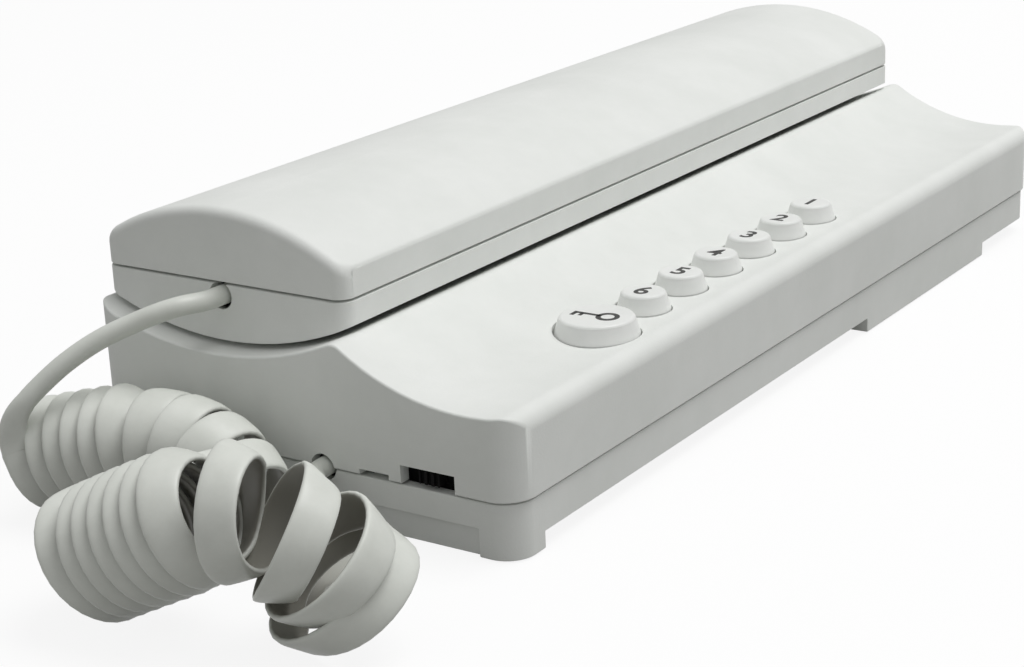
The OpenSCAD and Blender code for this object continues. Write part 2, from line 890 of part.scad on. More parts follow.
// Solid or hollow of the handset between two heights
module handset_form(inset, z0, z1, over = spare) {
    intersection() {
        along_y(handset_l + 2 * spare)
            handset_section(inset, over);
        handset_prism(inset, z0, z1);
    }
}

module handset_lower_shell() {
    seam = handset_seam_z - seam_gap / 2;
    lip_root = 1.2;
    color(shell_white)
        difference() {
            union() {
                difference() {
                    handset_form(0, belly_z - 1, seam);
                    handset_form(handset_wall, belly_z - 1, seam + 1);
                }
                difference() {
                    union() {
                        handset_prism(handset_lip_in, seam - lip_root, handset_seam_z + handset_lip_h);
                        handset_prism(handset_wall - weld, seam - 2 * lip_root, seam - lip_root + weld);
                    }
                    handset_prism(handset_lip_in + handset_lip_t, seam - 3 * lip_root,
                        handset_seam_z + 2 * handset_lip_h);
                }
                lower_fittings();
            }
            for (i = [-1, 0, 1])
                translate([handset_x + i * mic_port_step, microphone_y, belly_z - 1])
                    cylinder(h = boot_seat_z - belly_z + 2, r = mic_port_r);
            translate([handset_x, earpiece_y, belly_z - 1])
                for (ring = [0 : 2], k = [0 : max(1, 6 * ring) - 1])
                    rotate(360 * k / max(1, 6 * ring))
                        translate([ring * grille_step, 0, 0])
                            cylinder(h = ear_bottom - belly_z, r = grille_hole_r);
            for (sy = [-1, 1])
                translate([handset_x, sy * handset_screw_span / 2, 0]) {
                    translate([0, 0, belly_z - 1])
                        cylinder(h = head_seat_z - belly_z + 1, r = head_r + head_gap);
                    translate([0, 0, belly_z])
                        cylinder(h = crown_h, r = shank_r + shank_gap);
                }
            translate([handset_x - peg_w / 2 - peg_gap, peg_y - peg_l / 2 - peg_gap, belly_z - 1])
                cube([peg_w + 2 * peg_gap, peg_l + 2 * peg_gap, peg_slot_h]);
            near_hole(handset_x, handset_entry_z, cord_hole_r, handset_near_y,
                handset_lip_in + handset_lip_t);
        }
}

// Rings, seats and screw pillars that stand on the belly floor
module lower_fittings() {
    intersection() {
        union() {
            translate([handset_x, earpiece_y, 0]) {
                tube(ear_ring_r, ear_r + ear_ring_gap, belly_z, ear_bottom + ear_ring_h);
                tube(ear_ring_r, ear_lip_r, belly_z, ear_seat_z);
            }
            translate([handset_x, microphone_y, 0]) {
                tube(boot_ring_r, boot_ring_r - boot_ring_t, belly_z, boot_seat_z + boot_ring_h);
                translate([0, 0, belly_z])
                    cylinder(h = boot_seat_z - belly_z, r = boot_ring_r);
            }
            for (sy = [-1, 1])
                translate([handset_x, sy * handset_screw_span / 2, belly_z])
                    cylinder(h = handset_seam_h, r = boss_r + pillar_more);
        }
        handset_form(handset_wall - weld, belly_z - 1, handset_seam_z);
    }
}

module handset_upper_shell() {
    seam = handset_seam_z + seam_gap / 2;
    pilot_top = head_seat_z + handset_screw_l + pilot_more;
    color(shell_white)
        difference() {
            union() {
                difference() {
                    handset_form(0, seam, crown_z + 1, 0);
                    handset_form(handset_wall, seam - 1, crown_z + 1);
                }
                intersection() {
                    union() {
                        for (sy = [-1, 1])
                            translate([handset_x, sy * handset_screw_span / 2, handset_seam_z])
                                cylinder(h = crown_h, r = boss_r);
                        for (sx = [-1, 1])
                            translate([handset_x + sx * ear_r / 2, earpiece_y, ear_top + seat_gap])
                                translate([-clamp_rib_t / 2, -clamp_rib_l / 2, 0])
                                    cube([clamp_rib_t, clamp_rib_l, crown_h]);
                    }
                    handset_form(handset_wall - weld, handset_seam_z, crown_z);
                }
            }
            for (sy = [-1, 1])
                translate([handset_x, sy * handset_screw_span / 2, handset_seam_z - 1])
                    cylinder(h = pilot_top - handset_seam_z + 1, r = shank_r + shank_gap);
        }
}

module handset_screws() {
    color(steel)
        for (sy = [-1, 1])
            translate([handset_x, sy * handset_screw_span / 2, head_seat_z])
                union() {
                    cylinder(h = handset_screw_l, r = shank_r);
                    translate([0, 0, -head_h])
                        difference() {
                            cylinder(h = head_h, r = head_r);
                            for (a = [0, 90])
                                rotate(a)
                                    translate([-head_r / 2, -driver_slot_w / 2, -spare])
                                        cube([head_r, driver_slot_w, spare + driver_slot_h]);
                        }
                }
}

module earpiece_gasket() {
    color(part_black)
        translate([handset_x, earpiece_y, 0])
            tube(ear_r, ear_r - gasket_in, ear_seat_z, ear_bottom);
}

module earpiece() {
    color("#8f9296")
        translate([handset_x, earpiece_y, ear_bottom])
            rotate_extrude()
                polygon([
                    [0, 0], [ear_r, 0], [ear_r, earpiece_h - ear_step],
                    [ear_r - ear_step_in, earpiece_h - ear_step],
                    [ear_r - ear_step_in - ear_cone, earpiece_h], [0, earpiece_h]
                ]);
}

module microphone_boot() {
    color(part_black)
        translate([handset_x, microphone_y, 0])
            difference() {
                tube(boot_r, mic_port_step, boot_seat_z, mic_bottom + microphone_h + 1);
                translate([0, 0, mic_bottom])
                    cylinder(h = microphone_h + 2, r = mic_r + boot_gap);
            }
}

module microphone() {
    color(steel)
        translate([handset_x, microphone_y, mic_bottom])
            difference() {
                cylinder(h = microphone_h, r = mic_r);
                translate([0, 0, microphone_h - 0.5])
                    cylinder(h = 1, r = mic_r - 0.8);
            }
}

module handset_cord_clamp() {
    foot_z = belly_floor(clamp_w / 2) + seat_gap;
    color(part_black)
        difference() {
            translate([handset_x - clamp_w / 2, handset_clamp_y, foot_z])
                cube([clamp_w, clamp_l, handset_entry_z + cord_r + handset_clamp_up - foot_z]);
            near_hole(handset_x, handset_entry_z, grip_r, handset_clamp_y, clamp_l);
        }
}

// Frame of a curl's axis from its compass heading and its climb, in degrees
function ahead(yaw, climb) = [cos(climb) * cos(yaw), cos(climb) * sin(yaw), sin(climb)];
function aside(yaw) = [sin(yaw), -cos(yaw), 0];
function above(yaw, climb) = cross(aside(yaw), ahead(yaw, climb));
function square_to(v, t) = let (w = v - (v * t) * t) w / norm(w);

// Curls as stretches of one helix: turns, run of the axis in mm, change of heading, change of climb,
// climb and heading of the run over those of the curls, change of openness.
// The flat cord leans, so that each turn lies over the next one; where a bundle bends, half a turn takes
// the bend on the inner side, and an open turn lies flat on the outer side.
curl_rings = 16;
curl_lean = 30;
// Pitch that sets the slant of the turns
curl_step = 3.9;
far_bundle = [
    [0.375, 3, 0, 0, 0, 0, 0], [4.5, 17.5, -2, -4, 0, 0, 0],
    [0.5, 3.6, -6, -8, 0, 0, 1], [0.5, 2.25, 0, 0, 0, 0, 0],
    [0.5, 3.8, -8, -10, 0, 0, 0], [0.5, 2.25, 0, 0, 0, 0, 0], [0.5, 4, -9, -11, 0, 0, 0],
    [0.5, 2.25, 0, 0, 0, 0, 0], [0.5, 4, -9, -11, 0, 0, 0], [0.375, 1.6, 0, 0, 0, 0, 0]
];
near_bundle = [
    [0.375, 4.1, 1, -2, 0, 0, 0], [4, 18.8, 7, -18, 0, 0, 0],
    [0.5, 4.9, 3, -14, 0, 0, 0.7], [0.5, 2.4, 0, 0, 3, 0, 0],
    [0.5, 5.5, 15, -16, 2, -4, 0], [0.5, 2.3, 0, 0, 0, 0, 0], [0.5, 5.5, 18, -6, 0, -4, 0],
    [0.5, 2.3, 0, 0, 0, -4, 0], [0.5, 3.2, 4, -6, 0, -4, -0.4], [0.75, 3.3, 0, 0, 0, 0, 0]
];
// Start of each bundle: place of its axis, heading, climb, where on the curl it starts, openness
far_start = [-44.4, -126.1, 9.8, 12, 15, 90, 0];
near_start = [-3.6, -153.6, 9.5, 3, 29, 0, 0.3];
// Place on the curl of each bundle's outer side
far_outer = 315;
near_outer = 45;

// One ring further along a helix
function curl_on(s, d) =
    let (t = ahead(s[3] + d[1] / 2 + d[5], s[4] + d[2] / 2 + d[4]))
    [
        s[0] + d[0] * t.x, s[1] + d[0] * t.y, s[2] + d[0] * t.z,
        s[3] + d[1], s[4] + d[2], s[5] + d[3], s[6] + d[6]
    ];
function curl_steps(runs) = [
    for (r = runs)
        let (n = round(r[0] * curl_rings))
        for (k = [1 : n])
            [r[1] / n, r[2] / n, r[3] / n, 360 * r[0] / n, r[4], r[5], r[6] / n]
];
function curl_states(start, steps) = [
    for (k = 0, s = start; k <= len(steps); s = k < len(steps) ? curl_on(s, steps[k]) : s, k = k + 1) s
];
function curl_point(s, r) =
    [s[0], s[1], s[2]] + r * (sin(s[5]) * aside(s[3]) + cos(s[5]) * above(s[3], s[4]));
function curl_way(s, r) =
    let (
        round_way = cos(s[5]) * aside(s[3]) - sin(s[5]) * above(s[3], s[4]),
        v = curl_step * ahead(s[3], s[4]) + 2 * PI * r * round_way
    )
    v / norm(v);
// Direction across the flat cord, leaning less where an open turn passes the outer side
function curl_side(s, r, outer) =
    let (
        w = curl_way(s, r),
        u = square_to(ahead(s[3], s[4]), w),
        lean = curl_lean * (1 - s[6] * pow((1 + cos(s[5] - outer)) / 2, 2))
    )
    cos(lean) * u - sin(lean) * cross(w, u);
far_r = far_curl_d / 2;
near_r = near_curl_d / 2;
far_states = curl_states(far_start, curl_steps(far_bundle));
near_states = curl_states(near_start, curl_steps(near_bundle));
far_points = [for (s = far_states) curl_point(s, far_r)];
near_points = [for (s = near_states) curl_point(s, near_r)];
far_sides = [for (s = far_states) curl_side(s, far_r, far_outer)];
near_sides = [for (s = near_states) curl_side(s, near_r, near_outer)];

// Free cord between the bundles: one smooth curve from the end of one to the start of the next
link_pull = 10;
link_rings = 12;
link_from = last(far_points);
link_to = near_points[0];
link_a = link_from + link_pull * curl_way(last(far_states), far_r);
link_b = link_to - link_pull * curl_way(near_states[0], near_r);
link_points = [
    for (k = [1 : link_rings])
        let (t = k / (link_rings + 1), u = 1 - t)
        u * u * u * link_from + 3 * t * u * u * link_a + 3 * t * t * u * link_b + t * t * t * link_to
];
link_sides = [
    for (k = [1 : link_rings])
        let (t = k / (link_rings + 1))
        (1 - t) * last(far_sides) + t * near_sides[0]
];

// Both ends of the curls run on straight for one diameter
lead_way = curl_way(far_start, far_r);
tail_way = curl_way(last(near_states), near_r);
lead_joint = far_points[0] - cord_d * lead_way;
tail_joint = last(near_points) + cord_d * tail_way;
coil_points = concat([lead_joint], far_points, link_points, near_points, [tail_joint]);
coil_sides = concat([far_sides[0]], far_sides, link_sides, near_sides, [last(near_sides)]);

// Route of the lead, from the first curl up into the handset
lead_route = [
    lead_joint, lead_joint - cord_r * lead_way, [-44.3, -134.8, 17.1], [-43.3, -135.6, 19.6],
    [-40.8, -136, 21.6], [-36.8, -135.6, 23.8], [-32, -134, 26.4], [-27.2, -131.3, 29.2],
    [-22.8, -127.6, 31.8], [-19.6, -123, 33.6], [-17.8, -118, 34.6],
    [handset_x, -113, handset_entry_z], [handset_x, -108, handset_entry_z],
    [handset_x, handset_clamp_y + clamp_l, handset_entry_z]
];

// Route of the tail, from the last curl past the back of the others and up into the base
tail_route = concat(
    [tail_joint, tail_joint + cord_d * tail_way],
    [
        [29, -127.6, 7.6], [24, -124, 7.8], [18.5, -121, 8.3], [13.5, -118.6, 9],
        [entry_x + 3.4, -116.4, 9.6], [entry_x + 0.8, -113.8, entry_z],
        [entry_x, -111.4, entry_z], [entry_x, base_clamp_y + clamp_l, entry_z]
    ]
);

// Way of a route at one of its points
function way_at(p, k) =
    let (v = k == 0 ? p[1] - p[0] : k == len(p) - 1 ? p[k] - p[k - 1] : p[k + 1] - p[k - 1])
    v / norm(v);
// Side vectors carried along a route without twist
function sides_along(p, side) = [
    for (k = 0, v = square_to(side, way_at(p, 0)); k < len(p);
        k = k + 1, v = k < len(p) ? square_to(v, way_at(p, k)) : v) v
];

// Cord sections as width, thickness and bevel: flat in the curls, round where it runs free
flat_bevel = 0.4;
flat_section = [curl_w, curl_t, flat_bevel];
function round_section(d) = let (w = d * cos(22.5)) [w, w, w / 2 * (1 - tan(22.5))];
// Sections of a free end: flat at the curls, round from the given point on
function sections_to_round(count, round_from) = [
    for (k = [0 : count - 1])
        let (t = min(1, k / round_from))
        (1 - t) * flat_section + t * round_section(cord_d)
];

// Corners of the section at one point of a route
function section_corners(p, sides, sections, k) =
    let (
        t = way_at(p, k),
        u = square_to(sides[k], t),
        v = cross(t, u),
        a = sections[k][0] / 2,
        b = sections[k][1] / 2,
        c = sections[k][2]
    )
    [
        for (q = [
            [a, c - b], [a, b - c], [a - c, b], [c - a, b],
            [-a, b - c], [-a, c - b], [c - a, -b], [a - c, -b]
        ])
            p[k] + q.x * u + q.y * v
    ];

// Eight-sided tube along a route, in triangles, closed by a flat fan at each end
module cord_tube(p, sides, sections) {
    n = len(p);
    rings = [for (k = [0 : n - 1]) each section_corners(p, sides, sections, k)];
    // Corners of the section
    m = 8;
    walls = [
        for (k = [0 : n - 2], j = [0 : m - 1])
            let (a = k * m + j, b = k * m + (j + 1) % m, c = a + m, e = b + m)
            each [[a, c, b], [b, c, e]]
    ];
    near_end = [for (j = [1 : m - 2]) [0, j, j + 1]];
    last_ring = (n - 1) * m;
    far_end = [for (j = [1 : m - 2]) [last_ring, last_ring + j + 1, last_ring + j]];
    polyhedron(rings, concat(walls, near_end, far_end));
}

// Least gap between two turns: from the corners of one ring to the flat length of cord about another
coil_sections = [for (p = coil_points) flat_section];
turn_skip = curl_rings / 2;
near_by = 2 * curl_w;
function flat_gap(q, k) =
    let (
        t = way_at(coil_points, k),
        u = square_to(coil_sides[k], t),
        d = q - coil_points[k],
        half_l = norm(coil_points[k + 1] - coil_points[k - 1]) / 4,
        out = [abs(d * u) - curl_w / 2, abs(d * cross(t, u)) - curl_t / 2, abs(d * t) - half_l]
    )
    norm([for (x = out) max(x, 0)]);
coil_gap = min([
    for (a = [1 : len(coil_points) - 2], b = [0 : len(coil_points) - 1])
        if (abs(a - b) > turn_skip && norm(coil_points[a] - coil_points[b]) < near_by)
            for (q = section_corners(coil_points, coil_sides, coil_sections, b))
                flat_gap(q, a)
]);
echo(coil_gap = coil_gap);

// Points of the routes from which the cord is round
lead_round_from = 7;
tail_round_from = 6;

module cord_lead() {
    color(cord_white)
        cord_tube(
            lead_route, sides_along(lead_route, far_sides[0]),
            sections_to_round(len(lead_route), lead_round_from)
        );
}

module cord_coil() {
    color(cord_white)
        cord_tube(coil_points, coil_sides, coil_sections);
}

module cord_tail() {
    color(cord_white)
        cord_tube(
            tail_route, sides_along(tail_route, last(near_sides)),
            sections_to_round(len(tail_route), tail_round_from)
        );
}

// Plunger spring between board and flange
module hook_spring() {
    spring_rings = 8;
    spring_low = board_z + spring_wire / 2 + seat_gap;
    spring_high = plunger_flange_bottom - spring_wire / 2 - seat_gap;
    turns = [for (k = [0 : spring_turns * spring_rings]) 360 * k / spring_rings];
    color(steel)
        cord_tube(
            [
                for (a = turns)
                    [handset_x + spring_r * cos(a), hook_y + spring_r * sin(a),
                        spring_low + (spring_high - spring_low) * a / last(turns)]
            ],
            [for (a = turns) [0, 0, 1]],
            [for (a = turns) round_section(spring_wire)]
        );
}

back_plate();
front_cover();
circuit_board();
board_screws();
terminal_block();
terminal_screws();
call_buzzer();
key_switches();
button(0);  // door_button
button(1);  // number_button_1
button(2);  // number_button_2
button(3);  // number_button_3
button(4);  // number_button_4
button(5);  // number_button_5
button(6);  // number_button_6
volume_switch();
volume_slider();
hook_plunger();
hook_spring();
hook_switch();
base_cord_clamp();
handset_lower_shell();
handset_upper_shell();
handset_screws();
earpiece_gasket();
earpiece();
microphone_boot();
microphone();
handset_cord_clamp();
cord_lead();
cord_coil();
cord_tail();
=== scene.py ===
import bpy
import bmesh
import math
from mathutils import Matrix, Vector


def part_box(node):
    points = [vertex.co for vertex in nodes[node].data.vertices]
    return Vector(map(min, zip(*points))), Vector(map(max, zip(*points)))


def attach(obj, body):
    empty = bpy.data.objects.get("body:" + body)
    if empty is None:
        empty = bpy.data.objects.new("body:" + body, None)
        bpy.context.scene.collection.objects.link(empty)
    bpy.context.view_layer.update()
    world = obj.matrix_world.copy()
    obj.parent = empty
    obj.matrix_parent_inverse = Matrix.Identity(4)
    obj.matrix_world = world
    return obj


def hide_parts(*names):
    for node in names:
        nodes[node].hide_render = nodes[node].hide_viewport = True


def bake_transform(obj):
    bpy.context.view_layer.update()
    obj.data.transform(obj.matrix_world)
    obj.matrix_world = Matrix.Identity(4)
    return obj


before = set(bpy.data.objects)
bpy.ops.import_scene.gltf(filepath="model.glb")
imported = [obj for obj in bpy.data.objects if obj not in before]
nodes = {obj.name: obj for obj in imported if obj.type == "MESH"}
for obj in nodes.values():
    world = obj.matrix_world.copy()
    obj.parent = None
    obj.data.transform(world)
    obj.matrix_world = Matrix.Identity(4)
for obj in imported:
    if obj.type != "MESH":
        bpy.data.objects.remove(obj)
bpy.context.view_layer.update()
scene = bpy.context.scene

# Viewpoint: the unit lies on its back and is seen from above its near right corner,
# with a long lens held a little askew.
eye = Vector((0.213158, -0.355567, 0.137103))
look_yaw, look_pitch, look_roll = -0.6015, 0.31905, -0.04416
ahead = Vector((math.sin(look_yaw) * math.cos(look_pitch), math.cos(look_yaw) * math.cos(look_pitch),
                -math.sin(look_pitch)))
level = Vector((math.cos(look_yaw), -math.sin(look_yaw), 0))
upright = level.cross(ahead)
across = math.cos(look_roll) * level + math.sin(look_roll) * upright
upward = math.cos(look_roll) * upright - math.sin(look_roll) * level
lens = bpy.data.cameras.new("viewpoint")
lens.sensor_fit = "HORIZONTAL"
lens.sensor_width = 36
lens.lens = 73.58
lens.clip_start = 0.02
camera = bpy.data.objects.new("viewpoint", lens)
camera.matrix_world = Matrix((
    (across.x, upward.x, -ahead.x, eye.x),
    (across.y, upward.y, -ahead.y, eye.y),
    (across.z, upward.z, -ahead.z, eye.z),
    (0, 0, 0, 1),
))
scene.collection.objects.link(camera)
scene.camera = camera

# Curly cord: wires in a soft light grey vinyl sheath, rolled flat and set into tight curls by heat. A round
# lead leaves the handset and flattens into the first curl; the curls lie on the table in two bundles, the
# near one bent open like a fan; a tail runs from the last curl up into the base.
cord_d = 0.0034
curl_w, curl_t = 0.0062, 0.0013
far_r, near_r = 0.0079, 0.0092
curl_step = 0.0039
curl_lean = math.radians(30)
rings_per_turn = 32


def curl_frame(yaw, climb):
    """Directions along a bundle, aside and above it."""
    forward = Vector((math.cos(climb) * math.cos(yaw), math.cos(climb) * math.sin(yaw), math.sin(climb)))
    side = Vector((math.sin(yaw), -math.cos(yaw), 0))
    return forward, side, side.cross(forward)


def square_to(vector, way):
    return (vector - vector.dot(way) * way).normalized()


def bundle(place, yaw, climb, turn, opened, radius, outer, runs):
    """Rings of a bundle: middle of the cord, its way and the direction across it. A run is turns, length,
    change of yaw and of climb, extra climb and yaw of the run, change of openness and of radius."""
    place = Vector(place)
    yaw, climb, turn, outer = (math.radians(a) for a in (yaw, climb, turn, outer))
    rings = []

    def lay_ring():
        forward, side, above = curl_frame(yaw, climb)
        way = curl_step * forward + 2 * math.pi * radius * (math.cos(turn) * side - math.sin(turn) * above)
        way.normalize()
        flat = square_to(forward, way)
        lean = curl_lean * (1 - opened * ((1 + math.cos(turn - outer)) / 2) ** 2)
        rings.append((place + radius * (math.sin(turn) * side + math.cos(turn) * above), way,
                      math.cos(lean) * flat - math.sin(lean) * way.cross(flat)))

    lay_ring()
    for run in runs:
        turns, length, yaw_by, climb_by, lift, drift, open_by, wide_by = run + (0,) * (8 - len(run))
        count = round(turns * rings_per_turn)
        yaw_part, climb_part = math.radians(yaw_by) / count, math.radians(climb_by) / count
        for _ in range(count):
            place = place + length / count * curl_frame(yaw + yaw_part / 2 + math.radians(drift),
                                                        climb + climb_part / 2 + math.radians(lift))[0]
            yaw, climb, turn = yaw + yaw_part, climb + climb_part, turn + 2 * math.pi * turns / count
            opened, radius = opened + open_by / count, radius + wide_by / count
            lay_ring()
    return rings


far_rings = bundle((-0.0396, -0.1261, 0.0098), 12, 15, 90, 0, far_r, 315, [
    (0.375, 0.0022, 0, 0), (4.5, 0.0162, -2, -4), (0.5, 0.0036, -6, -8, 0, 0, 1), (0.5, 0.00225, 0, 0),
    (0.5, 0.0038, -8, -10), (0.5, 0.00225, 0, 0), (0.5, 0.004, -9, -11), (0.5, 0.00225, 0, 0),
    (0.5, 0.004, -9, -11), (0.375, 0.0016, 0, 0),
])
near_rings = bundle((-0.0024, -0.1536, 0.0099), 3, 29, 0, 0, near_r, 45, [
    (0.375, 0.0038, 1, -2), (6, 0.0189, 7, -3, 0, 0, 0.1),
    (0.5, 0.0064, 4, -27, 6, -22, 0.9, -0.0003), (0.5, 0.0027, 0, 0, 2.8, -2.9),
    (0.5, 0.0066, 20, -30, -3, -10), (0.5, 0.0023, 0, 0, -2.9, 1.5),
    (0.5, 0.0051, 18, -18, -4, 4.6, 0, 0.0004), (0.5, 0.0015, 0, 0, -2.4, 1),
    (0.5, 0.0029, 4, -6, -6, 50, 0.9, 0.0009), (0.75, 0.0041, 0, 0, -6, 50),
])


def smooth_route(route, parts):
    """Route rounded through its own points."""
    points = []
    for k in range(len(route) - 1):
        a, b = route[max(k - 1, 0)], route[k]
        c, d = route[k + 1], route[min(k + 2, len(route) - 1)]
        for j in range(parts):
            t = j / parts
            points.append(0.5 * (2 * b + (c - a) * t + (2 * a - 5 * b + 4 * c - d) * t * t
                                 + (3 * b - a - 3 * c + d) * t * t * t))
    return points + [route[-1]]


def way_at(points, k):
    return (points[min(k + 1, len(points) - 1)] - points[max(k - 1, 0)]).normalized()


def free_end(route, side, parts, round_from):
    """Rings of a free end: flat where it leaves the curls, round from a point of its route on."""
    points = smooth_route(route, parts)
    rings = []
    for k, point in enumerate(points):
        side = square_to(side, way_at(points, k))
        rings.append((point, side, min(1, k / (parts * round_from))))
    return rings


far_start_point, far_start_way, far_start_side = far_rings[0]
near_end_point, near_end_way, near_end_side = near_rings[-1]
lead_joint = far_start_point - cord_d * far_start_way
tail_joint = near_end_point + cord_d * near_end_way
lead_exit = (-0.017, -0.10285, 0.0351)
lead_rings = free_end([lead_joint, lead_joint - cord_d / 2 * far_start_way] + [Vector(p) for p in (
    (-0.0397, -0.1343, 0.0166), (-0.0389, -0.1339, 0.0192), (-0.0374, -0.1327, 0.0217),
    (-0.0355, -0.1305, 0.0243), (-0.0334, -0.128, 0.0268), (-0.031, -0.1251, 0.0291),
    (-0.0284, -0.1224, 0.031), (-0.0252, -0.1195, 0.0327), (-0.0217, -0.1168, 0.0343),
    (-0.0189, -0.1139, 0.0352), (-0.0173, -0.1098, 0.0351), (-0.017, -0.106, 0.0351), lead_exit,
)], far_start_side, 4, 4)
tail_rings = free_end([tail_joint, tail_joint + cord_d * near_end_way] + [Vector(p) for p in (
    (0.0247, -0.1346, 0.005), (0.0243, -0.1308, 0.0042), (0.0222, -0.1268, 0.0046), (0.0184, -0.123, 0.0058),
    (0.0142, -0.1194, 0.0074), (0.0102, -0.1164, 0.0088), (0.0074, -0.114, 0.0096), (0.0061, -0.1118, 0.0098),
    (0.0058, -0.1066, 0.0098),
)], near_end_side, 4, 8)
link_pull = 0.01
link_parts = 26
link_from, link_way, link_side = far_rings[-1]
link_to, link_to_way, link_to_side = near_rings[0]
link_a, link_b = link_from + link_pull * link_way, link_to - link_pull * link_to_way
link_rings = []
for part in range(1, link_parts):
    t = part / link_parts
    u = 1 - t
    point = u * u * u * link_from + 3 * t * u * u * link_a + 3 * t * t * u * link_b + t * t * t * link_to
    link_rings.append((point, u * link_side + t * link_to_side, 0))
curl_rings = [(lead_joint, far_start_side, 0)] + [(p, s, 0) for p, _, s in far_rings] + link_rings
curl_rings += [(p, s, 0) for p, _, s in near_rings] + tail_rings


def sheath(name, rings, corners=24):
    """Tube along its rings, between a flat section with soft edges and a round one."""
    points = [ring[0] for ring in rings]
    places, faces, inside = [], [], []
    for k, (point, side, roundness) in enumerate(rings):
        way = way_at(points, k)
        flat = square_to(side, way)
        over = way.cross(flat)
        half_w = (curl_w + roundness * (cord_d - curl_w)) / 2
        half_t = (curl_t + roundness * (cord_d - curl_t)) / 2
        power = 2 / (3.2 - 1.2 * roundness)
        for j in range(corners):
            c, s = math.cos(2 * math.pi * j / corners), math.sin(2 * math.pi * j / corners)
            places.append(point + math.copysign(abs(c) ** power, c) * half_w * flat
                          + math.copysign(abs(s) ** power, s) * half_t * over)
            # Weight of the painted shade on the inner face of the flat curls, none where the cord is round.
            inside.append((1 - roundness) * min(1, max(0, -2 * s)))
    for k in range(len(rings) - 1):
        for j in range(corners):
            a, b = k * corners + j, k * corners + (j + 1) % corners
            faces.append((a, b, b + corners, a + corners))
    faces.append(tuple(range(corners - 1, -1, -1)))
    faces.append(tuple(range(len(places) - corners, len(places))))
    mesh = bpy.data.meshes.new(name)
    mesh.from_pydata(places, [], faces)
    mesh.shade_smooth()
    mesh.set_sharp_from_angle(angle=math.radians(60))
    mesh.attributes.new("inside", "FLOAT", "POINT").data.foreach_set("value", inside)
    piece = bpy.data.objects.new(name, mesh)
    scene.collection.objects.link(piece)
    return piece


# Vinyl takes a faint mottling from the extruder and a duller sheen where it has been handled.
def group_with(name, inputs, outputs):
    """Empty shader group with its sockets."""
    tree = bpy.data.node_groups.new(name, "ShaderNodeTree")
    for label, value in inputs:
        tree.interface.new_socket(label, in_out="INPUT", socket_type="NodeSocketFloat").default_value = value
    for label in outputs:
        tree.interface.new_socket(label, in_out="OUTPUT", socket_type="NodeSocketFloat")
    return tree, tree.nodes.new("NodeGroupInput"), tree.nodes.new("NodeGroupOutput")


def noise_in(tree, detail, roughness=0.5):
    node = tree.nodes.new("ShaderNodeTexNoise")
    node.inputs["Detail"].default_value = detail
    node.inputs["Roughness"].default_value = roughness
    tree.links.new(tree.nodes.new("ShaderNodeTexCoord").outputs["Object"], node.inputs["Vector"])
    return node


def spread(tree, socket, low, high, to_low=0.0, to_high=1.0):
    node = tree.nodes.new("ShaderNodeMapRange")
    node.inputs["From Min"].default_value = low
    node.inputs["From Max"].default_value = high
    node.inputs["To Min"].default_value = to_low
    node.inputs["To Max"].default_value = to_high
    tree.links.new(socket, node.inputs["Value"])
    return node.outputs["Result"]


# Skin of a moulded or extruded piece: fine grain from the tool, cloudy tone from the melt,
# and patches worn smoother by hands.
skin, skin_in, skin_out = group_with("moulded_skin", [("Grain", 2400), ("Clouds", 60), ("Wear", 25)],
                                     ["Height", "Tone", "Worn"])
grain = noise_in(skin, 2, 0.6)
skin.links.new(skin_in.outputs["Grain"], grain.inputs["Scale"])
skin.links.new(grain.outputs["Fac"], skin_out.inputs["Height"])
clouds = noise_in(skin, 5, 0.65)
skin.links.new(skin_in.outputs["Clouds"], clouds.inputs["Scale"])
skin.links.new(spread(skin, clouds.outputs["Fac"], 0.3, 0.7), skin_out.inputs["Tone"])
wear = noise_in(skin, 4, 0.55)
skin.links.new(skin_in.outputs["Wear"], wear.inputs["Scale"])
skin.links.new(spread(skin, wear.outputs["Fac"], 0.35, 0.65), skin_out.inputs["Worn"])


def skinned(name, dark, light, rough, grain=2400.0, clouds=60.0, wear=25.0, depth=0.00004, strength=0.3):
    """Material with the moulded skin: tone between two colours, roughness between two values, fine bump."""
    material = bpy.data.materials.new(name)
    material.use_nodes = True
    tree = material.node_tree
    shader = tree.nodes["Principled BSDF"]
    surface = tree.nodes.new("ShaderNodeGroup")
    surface.node_tree = skin
    surface.inputs["Grain"].default_value = grain
    surface.inputs["Clouds"].default_value = clouds
    surface.inputs["Wear"].default_value = wear
    mix = tree.nodes.new("ShaderNodeMix")
    mix.data_type = "RGBA"
    mix.inputs["A"].default_value = (*dark, 1)
    mix.inputs["B"].default_value = (*light, 1)
    tree.links.new(surface.outputs["Tone"], mix.inputs["Factor"])
    tree.links.new(mix.outputs["Result"], shader.inputs["Base Color"])
    tree.links.new(spread(tree, surface.outputs["Worn"], 0, 1, *rough), shader.inputs["Roughness"])
    bump = tree.nodes.new("ShaderNodeBump")
    bump.inputs["Strength"].default_value = strength
    bump.inputs["Distance"].default_value = depth
    tree.links.new(surface.outputs["Height"], bump.inputs["Height"])
    tree.links.new(bump.outputs["Normal"], shader.inputs["Normal"])
    return material, tree, shader


vinyl, vinyl_tree, vinyl_shader = skinned("cord_vinyl", (0.70, 0.72, 0.67), (0.78, 0.80, 0.75), (0.5, 0.38),
                                          grain=900, clouds=140, wear=90, depth=0.00002, strength=0.25)
